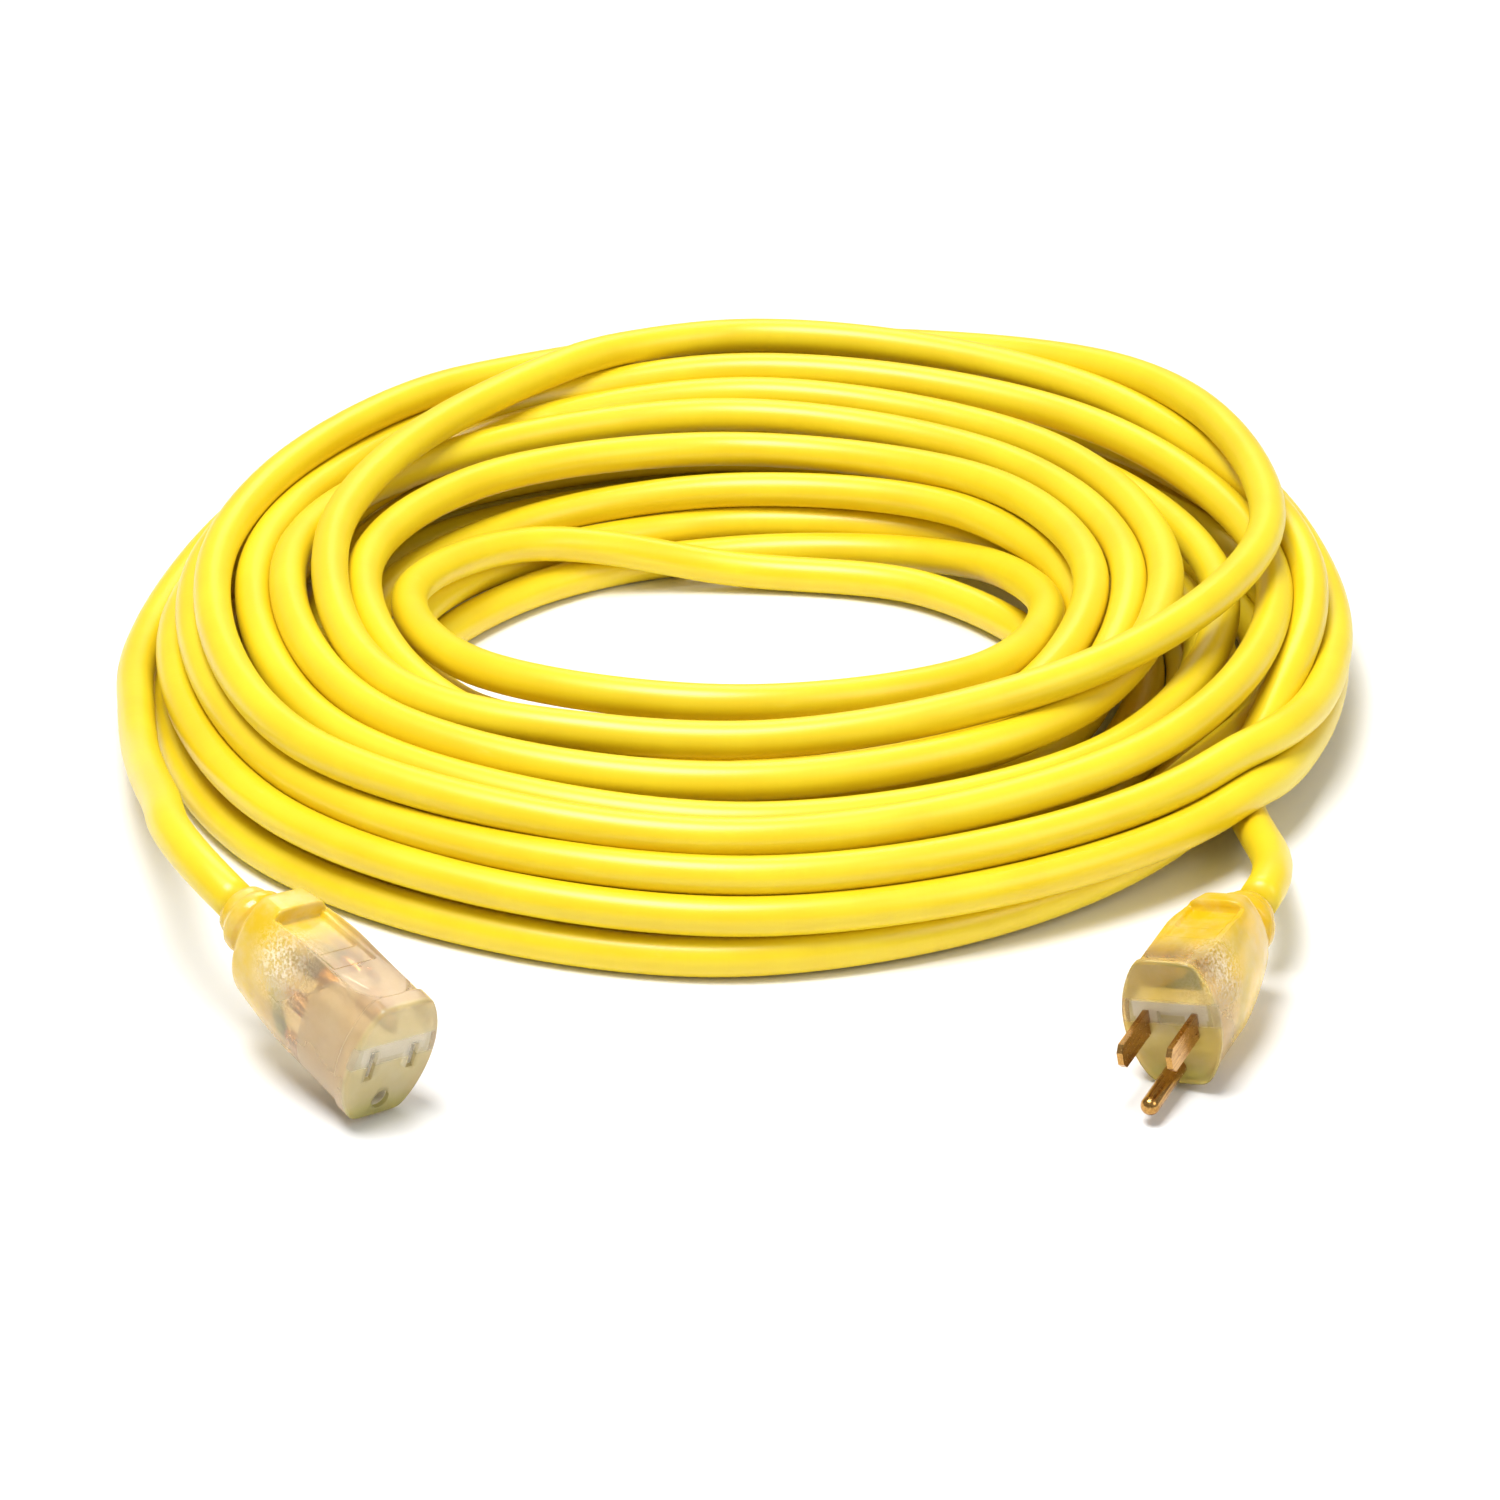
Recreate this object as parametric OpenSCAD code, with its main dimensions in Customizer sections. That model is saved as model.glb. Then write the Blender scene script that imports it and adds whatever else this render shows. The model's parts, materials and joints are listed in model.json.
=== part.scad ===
// Heavy-duty grounded outdoor extension cord, coiled, with clear moulded ends.
// Millimetres, +Z up. The origin is on the floor under the middle of the whole object.
// The plug and the connector are drawn in their own frames: +X out of the face,
// +Z towards the top of the body, ground contact below, origin between the two blades.

/* [Cord] */
// Outside diameter of the jacket
cord_d = 10.4; // [9.6:0.1:11]
// Wall of the jacket
jacket_wall = 1.3; // [1:0.1:1.6]
// Outside diameter of one insulated conductor
wire_d = 3.5; // [3.2:0.1:3.6]
// Diameter of the bare copper strands of one conductor
strand_d = 2.5; // [2.3:0.1:2.6]

/* [Coil] */
// Outer radius of the coil on the floor
coil_outer_r = 176; // [170:1:182]
// Inner radius of the coil on the floor
coil_inner_r = 84; // [78:1:90]
// Height of the heap of turns
coil_h = 50; // [46:1:56]

/* [Blades] */
// Width of a power blade
blade_w = 6.35; // [6.2:0.05:6.5]
// Thickness of a power blade
blade_t = 1.52; // [1.4:0.02:1.6]
// Length of a power blade outside the face
blade_len = 17.5; // [16:0.5:18]
// Distance between the middles of the two power blades
blade_gap = 12.7; // [12.6:0.1:12.8]
// Diameter of the ground pin
pin_d = 4.78; // [4.7:0.02:4.84]
// Length of the ground pin outside the face
pin_len = 20.6; // [20:0.1:21.5]
// Distance from the line of the blades down to the ground pin
pin_drop = 11.9; // [11.8:0.1:12]

/* [Plug] */
// Width of the plug's face
plug_w = 25.6; // [25:0.2:28]
// Height of the plug's face
plug_h = 34; // [33.6:0.2:38]
// Length of the plug's body behind the face
plug_len = 44; // [43:1:47]

/* [Connector] */
// Width of the connector's face
conn_w = 26.5; // [26:0.5:31]
// Height of the connector's face
conn_h = 34; // [34:0.5:37]
// Length of the connector's body behind the face
conn_len = 51; // [50:1:56]

/* [Hidden] */
$fn = 48;

// Where the ends lie: place of the face, then yaw, nose-down pitch and roll in degrees
plug_at = [106.5, -192.5, 18.1];
plug_turn = [-115, 4, 9];
conn_at = [-81, -209, 17.4];
conn_turn = [-49, 16, -8];
coil_at = [0, 39, 0];

cord_r = cord_d / 2;
core_r = cord_r - jacket_wall;
wire_r = wire_d / 2;
strand_r = strand_d / 2;
half_gap = blade_gap / 2;
pin_r = pin_d / 2;

// The three conductors touch each other round the cord's axis
lay_r = wire_d / sqrt(3) + 0.02;
function core_place(a) = [lay_r * cos(a), lay_r * sin(a)];
lay_line = core_place(30);
lay_neutral = core_place(150);
lay_ground = core_place(270);

// Moulded body: thickness over the bridge, length of the face's lip, and the collar behind
skin = 1.2;
plug_lip = 2.2;
conn_lip = 5;
lip_step = 0.7;
taper_share = 0.5;
plug_tail = 0.74;
conn_tail = 0.84;
collar_len = 12;
barrel_len = 6;
barrel_r = 2.35;
barrel_floor = 1;
pin_root_r = 2.1;

// Bridge that holds the blades in the plug
bridge_depth = 11;
bridge_inset = 2;
bridge_top = 5.5;
bridge_bottom = -15;
tail_len = 1.5;

// Insert that holds the contacts in the connector
insert_depth = 20;
insert_inset = 1.8;
insert_top = 7;
leaf_t = 0.8;
leaf_gap = 1.4;
leaf_len = 15;
leaf_w = 6.4;
leaf_start = -4.4;
slot_w = 2;
line_slot_h = 7;
neutral_slot_h = 8.4;
tube_r = 3;
tube_bore_r = 2.45;

// Rotation of a point by roll, then pitch, then yaw
function roll_x(p, a) = [p[0], p[1] * cos(a) - p[2] * sin(a), p[1] * sin(a) + p[2] * cos(a)];
function pitch_y(p, a) = [p[0] * cos(a) + p[2] * sin(a), p[1], -p[0] * sin(a) + p[2] * cos(a)];
function yaw_z(p, a) = [p[0] * cos(a) - p[1] * sin(a), p[0] * sin(a) + p[1] * cos(a), p[2]];
function placed(p, at, turn) = at + yaw_z(pitch_y(roll_x(p, turn[2]), turn[1]), turn[0]);

plug_neck = placed([-(plug_len + collar_len), 0, 0], plug_at, plug_turn);
plug_neck_back = placed([-(plug_len + collar_len + 12), 0, 0], plug_at, plug_turn);
conn_neck = placed([-(conn_len + collar_len), 0, 0], conn_at, conn_turn);
conn_neck_back = placed([-(conn_len + collar_len + 14), 0, 0], conn_at, conn_turn);

// Routes of the two uncoiled leads, from the coil to the back of each collar
plug_route = [
    [137, -21, 5.5], [138, -38, 5.5], [138, -55, 6.5], [139, -75, 10], [139.5, -96, 15.5],
    [138.5, -115, 20.5], plug_neck_back, plug_neck
];
conn_route = [
    [-169, 40, 14], [-168, 18, 14], [-165, -8, 16], [-160, -42, 20], [-154, -73, 27],
    [-147, -103, 34], [-140, -133, 39.5], conn_neck_back, conn_neck
];
rings_per_leg = 4;
lead_sides = 12;
wire_sides = 16;

// A point between p1 and p2 on the smooth curve through p0, p1, p2 and p3
function curve_at(p0, p1, p2, p3, t) =
    0.5 * (2 * p1 + (p2 - p0) * t + (2 * p0 - 5 * p1 + 4 * p2 - p3) * t * t
    + (3 * p1 - p0 - 3 * p2 + p3) * t * t * t);
function before_first(p) = 2 * p[0] - p[1];
function after_last(p) = 2 * p[len(p) - 1] - p[len(p) - 2];
function pick(p, i) = i < 0 ? before_first(p) : (i >= len(p) ? after_last(p) : p[i]);
function smooth(p) = [
    for (i = [0 : len(p) - 2])
        for (k = [0 : rings_per_leg - 1])
            curve_at(pick(p, i - 1), p[i], p[i + 1], pick(p, i + 2), k / rings_per_leg),
    p[len(p) - 1]
];
function unit(v) = v / norm(v);
function heading(p, i) = unit(pick(p, i + 1) - pick(p, i - 1));

// One ring of the swept tube: a circle across the heading h about the point c
function ring(c, h, r, n) =
    let (side = unit(cross([0, 0, 1], h)), up = cross(h, side))
    [for (k = [0 : n - 1]) c + r * (cos(360 * k / n) * side + sin(360 * k / n) * up)];

// Face k between the ring that starts at point a and the ring that starts at point b
function quad(a, b, k, n) = [a + k, a + (k + 1) % n, b + (k + 1) % n, b + k];

// A round bar with a ring of n points about each point of a path
module swept_bar(path, r, n) {
    count = len(path);
    points = [for (i = [0 : count - 1]) each ring(path[i], heading(path, i), r, n)];
    walls = [for (i = [0 : count - 2]) for (k = [0 : n - 1]) quad(i * n, (i + 1) * n, k, n)];
    first_cap = [for (k = [0 : n - 1]) n - 1 - k];
    last_cap = [for (k = [0 : n - 1]) (count - 1) * n + k];
    polyhedron(points = points, faces = concat([first_cap], walls, [last_cap]), convexity = 6);
}

// Places a drawing made in an end's own frame
module place_end(at, turn) {
    translate(at) rotate([0, 0, turn[0]]) rotate([0, turn[1], 0]) rotate([turn[2], 0, 0]) children();
}
module at_plug() { place_end(plug_at, plug_turn) children(); }
module at_connector() { place_end(conn_at, conn_turn) children(); }

// A cylinder along X, and a box given by its limits
module rod(r, x0, x1) { translate([x0, 0, 0]) rotate([0, 90, 0]) cylinder(r = r, h = x1 - x0); }
module block(x, y, z) {
    translate([x[0], y[0], z[0]]) cube([x[1] - x[0], y[1] - y[0], z[1] - z[0]]);
}

// Path of one conductor: along the cord, a soft S bend out to its own contact, then into the crimp
bend_steps = 6;
function ease(t) = t * t * (3 - 2 * t);
function wire_path(lay, contact, neck, spread, tip) =
    let (bend_end = tip - barrel_len - 1)
    concat(
        [[neck, lay[0], lay[1]]],
        [for (i = [0 : bend_steps]) let (t = i / bend_steps)
            [spread + t * (bend_end - spread),
             lay[0] + ease(t) * (contact[0] - lay[0]),
             lay[1] + ease(t) * (contact[1] - lay[1])]],
        [[tip, contact[0], contact[1]]]
    );

// Outline of the face: two wide arcs cut off flat at the top and the bottom
module barrel_outline(w, h, inset) {
    flat_half = 0.28 * w;
    bulge = w / 2 - flat_half;
    arc_r = ((h / 2) * (h / 2) + bulge * bulge) / (2 * bulge);
    intersection() {
        translate([arc_r - w / 2, 0]) circle(r = arc_r - inset, $fn = 96);
        translate([w / 2 - arc_r, 0]) circle(r = arc_r - inset, $fn = 96);
        square([w, h - 2 * inset], center = true);
    }
}
// The outline as a slab across X, from x0 to x1
module outline_slab(w, h, inset, x0, x1) {
    translate([x0, 0, 0]) rotate([90, 0, 90]) linear_extrude(x1 - x0) barrel_outline(w, h, inset);
}

// Outer shape of a moulded end: lip, straight body, tapering back, ringed collar, thumb recess
module moulded_shape(w, h, len, lip, tail) {
    mid = -taper_share * len;
    difference() {
        union() {
            outline_slab(w, h, 0, -lip, 0);
            outline_slab(w, h, lip_step, mid, -lip);
            hull() {
                outline_slab(w, h, lip_step, mid, mid + 0.2);
                outline_slab(w * tail, h * tail, 0, -len, -len + 0.2);
            }
            rotate([0, 90, 0]) rotate_extrude() collar_profile(len);
        }
        thumb_recess(h, len, lip);
    }
}
// Half section of the collar, radius against length: two soft rings and a lip on the cord
module collar_profile(len) {
    back = -(len + collar_len);
    polygon([
        [0, back], [cord_r + 1, back], [cord_r + 1.8, back + 1], [cord_r + 2, back + 3],
        [cord_r + 3, back + 4], [cord_r + 3.6, back + 5.5], [cord_r + 3.6, back + 7.5],
        [cord_r + 2.6, back + 9], [cord_r + 2.8, back + 10], [cord_r + 3.6, back + 12],
        [cord_r + 3.6, back + 15], [0, back + 15]
    ]);
}
// Recess for the thumb on top: a sloping floor with a round front end and two cross steps
module thumb_recess(h, len, lip) {
    recess_r = 8;
    front = -lip - recess_r;
    reach = len - 8 + front;
    floor_z = h / 2 - 2.2;
    translate([front, 0, floor_z]) rotate([0, -5, 0]) {
        cylinder(r = recess_r, h = 20);
        block([-reach, 0], [-recess_r, recess_r], [0, 20]);
        block([-reach + 1, -8], [-6.6, 6.6], [-0.6, 1]);
        block([-reach + 2, -15], [-5.6, 5.6], [-1.2, 1]);
    }
}

// Jacket end and filler inside a moulded end
module jacket_tube(neck, end) {
    difference() {
        rod(cord_r, neck, end);
        rod(core_r, neck - 1, end + 1);
    }
}
module filler_core(neck, end) {
    difference() {
        rod(core_r, neck, end);
        for (lay = [lay_line, lay_neutral, lay_ground])
            translate([0, lay[0], lay[1]]) rod(wire_r, neck - 1, end + 1);
    }
}
// Insulation round the strands: an outer and an inner wall closed by a flat ring at each end
module insulation(path) {
    n = wire_sides;
    last = len(path) - 2;
    inside = (last + 1) * n;
    outer_points = [for (i = [0 : last]) each ring(path[i], heading(path, i), wire_r, n)];
    inner_points = [for (i = [0 : last]) each ring(path[i], heading(path, i), strand_r, n)];
    outer_wall = [for (i = [0 : last - 1]) for (k = [0 : n - 1]) quad(i * n, (i + 1) * n, k, n)];
    inner_wall = [
        for (i = [0 : last - 1])
            for (k = [0 : n - 1]) quad(inside + (i + 1) * n, inside + i * n, k, n)
    ];
    first_ring = [for (k = [0 : n - 1]) quad(inside, 0, k, n)];
    last_ring = [for (k = [0 : n - 1]) quad(last * n, inside + last * n, k, n)];
    polyhedron(
        points = concat(outer_points, inner_points),
        faces = concat(outer_wall, inner_wall, first_ring, last_ring),
        convexity = 8
    );
}
// Chamber round the three spread conductors, from the jacket's end to the crimps: a flat
// upper room for the two power conductors and a tall narrow one for the ground conductor
module wire_chamber(spread, crimp) {
    side = half_gap + wire_r + 0.2;
    block([spread - 1, crimp - barrel_len], [-side, side], [-wire_r - 0.4, lay_r + wire_r + 0.2]);
    block([spread - 1, spread + 5], [-wire_r - 0.3, wire_r + 0.3], [-9.5, 0]);
    block([spread + 5, crimp - barrel_len], [-wire_r - 0.3, wire_r + 0.3], [-pin_drop - wire_r - 0.2, 0]);
}
// Crimp barrel round the strands, with a floor towards the contact
module crimp_barrel(x, y, z) {
    translate([0, y, z]) difference() {
        rod(barrel_r, x - barrel_len, x);
        rod(strand_r, x - barrel_len - 1, x - barrel_floor);
    }
}

/* Plug */
plug_neck_x = -(plug_len + collar_len);
plug_spread_x = -(plug_len - 9);
blade_root = -(skin + bridge_depth);
plug_crimp_x = blade_root - tail_len;
plug_strand_tip = plug_crimp_x - barrel_floor;
plug_line_path = wire_path(lay_neutral, [-half_gap, 0], plug_neck_x, plug_spread_x, plug_strand_tip);
plug_neutral_path = wire_path(lay_line, [half_gap, 0], plug_neck_x, plug_spread_x, plug_strand_tip);
plug_ground_path = wire_path(lay_ground, [0, -pin_drop], plug_neck_x, plug_spread_x, plug_strand_tip);

// Side view of a blade with its corners cut back, thickness across Y
module blade_plate(x0, x1) {
    corner = 1.6;
    half = blade_w / 2;
    rotate([90, 0, 0]) translate([0, 0, -blade_t / 2]) linear_extrude(blade_t) polygon([
        [x0, -half], [x1 - corner, -half], [x1, -half + corner],
        [x1, half - corner], [x1 - corner, half], [x0, half]
    ]);
}
module power_blade(y) {
    translate([0, y, 0]) blade_plate(blade_root, blade_len);
    translate([0, y, 0]) blade_tail();
    crimp_barrel(plug_crimp_x, y, 0);
}
// Narrow tail between the blade and its crimp
module blade_tail() {
    block([plug_crimp_x - barrel_floor, blade_root], [-blade_t / 2, blade_t / 2], [-1.8, 1.8]);
}
module ground_pin_shape() {
    tip = pin_r;
    translate([0, 0, -pin_drop]) {
        rod(pin_root_r, plug_crimp_x, 0);
        rod(pin_r, 0, pin_len - tip);
        translate([pin_len - tip, 0, 0]) sphere(r = pin_r);
    }
    crimp_barrel(plug_crimp_x, 0, -pin_drop);
}
module bridge_block() {
    intersection() {
        outline_slab(plug_w, plug_h, bridge_inset, blade_root, -skin);
        block([blade_root, -skin], [-plug_w, plug_w], [bridge_bottom, bridge_top]);
    }
}
module blade_holes() {
    for (y = [-half_gap, half_gap]) translate([0, y, 0]) blade_plate(blade_root - 1, blade_len + 1);
    translate([0, 0, -pin_drop]) rod(pin_root_r, blade_root - 1, 0);
}

module line_blade() { color([0.78, 0.55, 0.26]) at_plug() power_blade(-half_gap); }
module neutral_blade() { color([0.78, 0.55, 0.26]) at_plug() power_blade(half_gap); }
module ground_pin() { color([0.78, 0.55, 0.26]) at_plug() ground_pin_shape(); }
module plug_bridge() {
    color([0.93, 0.9, 0.84]) at_plug() difference() {
        bridge_block();
        blade_holes();
        block([-skin - 2.4, -skin + 1], [-3.6, 3.6], [-2.6, 3]);
        block([blade_root - 1, blade_root + 5], [-4, 4], [-8, 4.5]);
    }
}
module plug_line_wire() { color([0.1, 0.1, 0.11]) at_plug() insulation(plug_line_path); }
module plug_neutral_wire() { color([0.92, 0.92, 0.9]) at_plug() insulation(plug_neutral_path); }
module plug_ground_wire() { color([0.1, 0.5, 0.22]) at_plug() insulation(plug_ground_path); }
module plug_line_strands() {
    color([0.72, 0.4, 0.2]) at_plug() swept_bar(plug_line_path, strand_r, wire_sides);
}
module plug_neutral_strands() {
    color([0.72, 0.4, 0.2]) at_plug() swept_bar(plug_neutral_path, strand_r, wire_sides);
}
module plug_ground_strands() {
    color([0.72, 0.4, 0.2]) at_plug() swept_bar(plug_ground_path, strand_r, wire_sides);
}
module plug_jacket_end() {
    color([0.95, 0.86, 0.15]) at_plug() jacket_tube(plug_neck_x, plug_spread_x - 1);
}
module plug_filler() {
    color([0.85, 0.8, 0.7]) at_plug() filler_core(plug_neck_x, plug_spread_x - 1.5);
}
// The clear body is moulded round the blades and bridge, with one chamber for the spread wires
module plug_housing() {
    color([0.9, 0.84, 0.66, 0.5]) at_plug() difference() {
        moulded_shape(plug_w, plug_h, plug_len, plug_lip, plug_tail);
        bridge_block();
        for (y = [-half_gap, half_gap]) translate([0, y, 0]) {
            blade_plate(blade_root, blade_len + 1);
            blade_tail();
            rod(barrel_r, plug_crimp_x - barrel_len, plug_crimp_x);
        }
        translate([0, 0, -pin_drop]) rod(pin_root_r, plug_crimp_x, 1);
        translate([0, 0, -pin_drop]) rod(barrel_r, plug_crimp_x - barrel_len, plug_crimp_x);
        wire_chamber(plug_spread_x, plug_crimp_x);
        rod(cord_r, plug_neck_x - 1, plug_spread_x - 1);
    }
}

/* Connector */
conn_neck_x = -(conn_len + collar_len);
conn_spread_x = -(conn_len - 8);
insert_back = -(skin + insert_depth);
leaf_back = leaf_start - leaf_len;
contact_root = insert_back - tail_len;
conn_strand_tip = contact_root - barrel_floor;
conn_line_path = wire_path(lay_line, [half_gap, 0], conn_neck_x, conn_spread_x, conn_strand_tip);
conn_neutral_path = wire_path(lay_neutral, [-half_gap, 0], conn_neck_x, conn_spread_x, conn_strand_tip);
conn_ground_path = wire_path(lay_ground, [0, -pin_drop], conn_neck_x, conn_spread_x, conn_strand_tip);

// Two spring leaves joined by a web, with a tail and a crimp behind
module leaf_contact(y) {
    outer = leaf_gap / 2 + leaf_t;
    translate([0, y, 0]) {
        for (side = [-1, 1])
            block([leaf_back, leaf_start],
                  [min(side * leaf_gap / 2, side * outer), max(side * leaf_gap / 2, side * outer)],
                  [-leaf_w / 2, leaf_w / 2]);
        block([leaf_back - leaf_t, leaf_back], [-outer, outer], [-leaf_w / 2, leaf_w / 2]);
        block([contact_root - barrel_floor, leaf_back], [-leaf_t, leaf_t], [-1.8, 1.8]);
    }
    crimp_barrel(contact_root, y, 0);
}
// Tube that takes the ground pin, split along one side, with a tail and a crimp behind
module tube_contact() {
    translate([0, 0, -pin_drop]) {
        difference() {
            rod(tube_r, leaf_back, leaf_start);
            rod(tube_bore_r, leaf_back - 1, leaf_start + 1);
            block([leaf_back - 1, leaf_start + 1], [-0.4, 0.4], [0, tube_r + 1]);
        }
        rod(tube_r, leaf_back - leaf_t, leaf_back);
        block([contact_root - barrel_floor, leaf_back], [-leaf_t, leaf_t], [-1.8, 1.8]);
    }
    crimp_barrel(contact_root, 0, -pin_drop);
}
module insert_block() {
    intersection() {
        outline_slab(conn_w, conn_h, insert_inset, insert_back, -skin);
        block([insert_back, -skin], [-conn_w, conn_w], [-conn_h, insert_top]);
    }
}
// Openings in the face: two slots and the round ground socket
module face_openings(depth) {
    block([-depth, 1], [half_gap - slot_w / 2, half_gap + slot_w / 2], [-line_slot_h / 2, line_slot_h / 2]);
    block([-depth, 1], [-half_gap - slot_w / 2, -half_gap + slot_w / 2],
          [-neutral_slot_h / 2, neutral_slot_h / 2]);
    translate([0, 0, -pin_drop]) rod(tube_bore_r, -depth, 1);
}
// Chambers in the insert that hold the contacts with a little room for them to spring
module contact_chambers() {
    room = 0.3;
    side = leaf_gap / 2 + leaf_t + room;
    for (y = [-half_gap, half_gap]) translate([0, y, 0]) {
        block([leaf_back - leaf_t, leaf_start + room], [-side, side], [-leaf_w / 2 - room, leaf_w / 2 + room]);
        block([insert_back - 1, leaf_back], [-leaf_t, leaf_t], [-1.8, 1.8]);
    }
    translate([0, 0, -pin_drop]) {
        rod(tube_r, leaf_back - leaf_t, leaf_start + room);
        block([insert_back - 1, leaf_back], [-leaf_t, leaf_t], [-1.8, 1.8]);
    }
}

module line_contact() { color([0.75, 0.52, 0.25]) at_connector() leaf_contact(half_gap); }
module neutral_contact() { color([0.75, 0.52, 0.25]) at_connector() leaf_contact(-half_gap); }
module ground_contact() { color([0.75, 0.52, 0.25]) at_connector() tube_contact(); }

// Indicator lamp: a small round-ended body above the insert, a resistor and two thin leads
lamp_r = 1.5;
lamp_z = insert_top + 1.8;
lamp_x = -7;
lamp_len = 6;
resistor_x = -16;
resistor_len = 4.5;
resistor_r = 1;
lead_r = 0.3;
module lamp_body() {
    translate([0, 0, lamp_z]) {
        rod(lamp_r, lamp_x - lamp_len, lamp_x);
        translate([lamp_x, 0, 0]) sphere(r = lamp_r);
    }
}
module resistor_body() {
    translate([0, half_gap - 2, lamp_z]) rod(resistor_r, resistor_x - resistor_len, resistor_x);
}
lead_y = half_gap - 2;
lead_sides_thin = 8;
on_crimp = barrel_r + lead_r;
line_lead = [
    [resistor_x - resistor_len, lead_y, lamp_z],
    [resistor_x - resistor_len - 1, lead_y, lamp_z - 0.2],
    [contact_root + 0.2, half_gap - 0.8, lamp_z - 2.4],
    [contact_root - 1.2, half_gap, on_crimp + 1.4],
    [contact_root - 2.6, half_gap, on_crimp],
    [contact_root - barrel_len + 1, half_gap, on_crimp]
];
joining_lead = [
    [resistor_x, lead_y, lamp_z],
    [resistor_x + 0.7, lead_y - 0.2, lamp_z],
    [lamp_x - lamp_len - 0.7, 0.9, lamp_z],
    [lamp_x - lamp_len, 0.7, lamp_z]
];
neutral_lead = [
    [lamp_x - lamp_len, -0.7, lamp_z],
    [lamp_x - lamp_len - 1, -0.9, lamp_z],
    [resistor_x - resistor_len, -lead_y + 1, lamp_z],
    [contact_root + 0.2, -half_gap + 0.8, lamp_z - 2.4],
    [contact_root - 1.2, -half_gap, on_crimp + 1.4],
    [contact_root - 2.6, -half_gap, on_crimp],
    [contact_root - barrel_len + 1, -half_gap, on_crimp]
];
module lead_wires() {
    for (path = [line_lead, joining_lead, neutral_lead]) swept_bar(path, lead_r, lead_sides_thin);
}
// Room for the lamp on top of the insert, and for its leads down to the crimps
module lamp_chamber() {
    roof = lamp_z + lamp_r + 0.2;
    block([insert_back, lamp_x + lamp_r + 0.3], [-lead_y - 1.4, lead_y + 1.4], [insert_top, roof]);
    block([contact_root - barrel_len, insert_back], [-half_gap - 0.5, half_gap + 0.5], [0, roof]);
}
module indicator_lamp() { color([0.95, 0.75, 0.5]) at_connector() lamp_body(); }
module lamp_resistor() { color([0.8, 0.7, 0.5]) at_connector() resistor_body(); }
module lamp_leads() {
    color([0.75, 0.75, 0.77]) at_connector() lead_wires();
}

module connector_insert() {
    color([0.93, 0.91, 0.86]) at_connector() difference() {
        insert_block();
        contact_chambers();
        face_openings(-leaf_start + 0.1);
    }
}
module connector_line_wire() { color([0.1, 0.1, 0.11]) at_connector() insulation(conn_line_path); }
module connector_neutral_wire() { color([0.92, 0.92, 0.9]) at_connector() insulation(conn_neutral_path); }
module connector_ground_wire() { color([0.1, 0.5, 0.22]) at_connector() insulation(conn_ground_path); }
module connector_line_strands() {
    color([0.72, 0.4, 0.2]) at_connector() swept_bar(conn_line_path, strand_r, wire_sides);
}
module connector_neutral_strands() {
    color([0.72, 0.4, 0.2]) at_connector() swept_bar(conn_neutral_path, strand_r, wire_sides);
}
module connector_ground_strands() {
    color([0.72, 0.4, 0.2]) at_connector() swept_bar(conn_ground_path, strand_r, wire_sides);
}
module connector_jacket_end() {
    color([0.95, 0.86, 0.15]) at_connector() jacket_tube(conn_neck_x, conn_spread_x - 1);
}
module connector_filler() {
    color([0.85, 0.8, 0.7]) at_connector() filler_core(conn_neck_x, conn_spread_x - 1.5);
}
module connector_housing() {
    color([0.9, 0.84, 0.7, 0.5]) at_connector() difference() {
        moulded_shape(conn_w, conn_h, conn_len, conn_lip, conn_tail);
        insert_block();
        face_openings(skin + 1);
        for (y = [-half_gap, half_gap]) translate([0, y, 0]) {
            block([contact_root - barrel_floor, insert_back], [-leaf_t, leaf_t], [-1.8, 1.8]);
            rod(barrel_r, contact_root - barrel_len, contact_root);
        }
        translate([0, 0, -pin_drop]) {
            block([contact_root - barrel_floor, insert_back], [-leaf_t, leaf_t], [-1.8, 1.8]);
            rod(barrel_r, contact_root - barrel_len, contact_root);
        }
        wire_chamber(conn_spread_x, contact_root);
        lamp_chamber();
        rod(cord_r, conn_neck_x - 1, conn_spread_x - 1);
    }
}

/* Cord */
// Section of the heap of turns: flat on the floor, steep outside, sloping inside
module heap_section() {
    polygon([
        [coil_inner_r, 0], [coil_outer_r, 0], [coil_outer_r + 1, 16], [coil_outer_r - 4, 36],
        [coil_outer_r - 15, coil_h - 1], [coil_outer_r - 34, coil_h], [coil_inner_r + 26, coil_h - 5],
        [coil_inner_r + 6, coil_h - 14], [coil_inner_r, 14]
    ]);
}
module cord_coil() {
    color([0.96, 0.87, 0.15]) translate(coil_at) rotate_extrude($fn = 96) heap_section();
}
module cord_to_plug() {
    color([0.96, 0.87, 0.15]) swept_bar(smooth(plug_route), cord_r, lead_sides);
}
module cord_to_connector() {
    color([0.96, 0.87, 0.15]) swept_bar(smooth(conn_route), cord_r, lead_sides);
}

plug_housing();
plug_bridge();
line_blade();
neutral_blade();
ground_pin();
plug_line_wire();
plug_neutral_wire();
plug_ground_wire();
plug_line_strands();
plug_neutral_strands();
plug_ground_strands();
plug_jacket_end();
plug_filler();
connector_housing();
connector_insert();
line_contact();
neutral_contact();
ground_contact();
connector_line_wire();
connector_neutral_wire();
connector_ground_wire();
connector_line_strands();
connector_neutral_strands();
connector_ground_strands();
connector_jacket_end();
connector_filler();
indicator_lamp();
lamp_resistor();
lamp_leads();
cord_coil();
cord_to_plug();
cord_to_connector();
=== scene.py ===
"""Coiled outdoor extension cord with clear moulded ends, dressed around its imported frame.

Everything is in metres in the row frame: +Z up, the coil behind, the two ends in front (-Y).
The cord is one swept tube. The two clear bodies are lofted surfaces that stand for the plain
CAD housings. Every other visible part is the CAD's own solid with a procedural finish.
"""
import json
import bpy
import numpy as np
from math import radians, pi
from mathutils import Matrix, Vector


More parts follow.
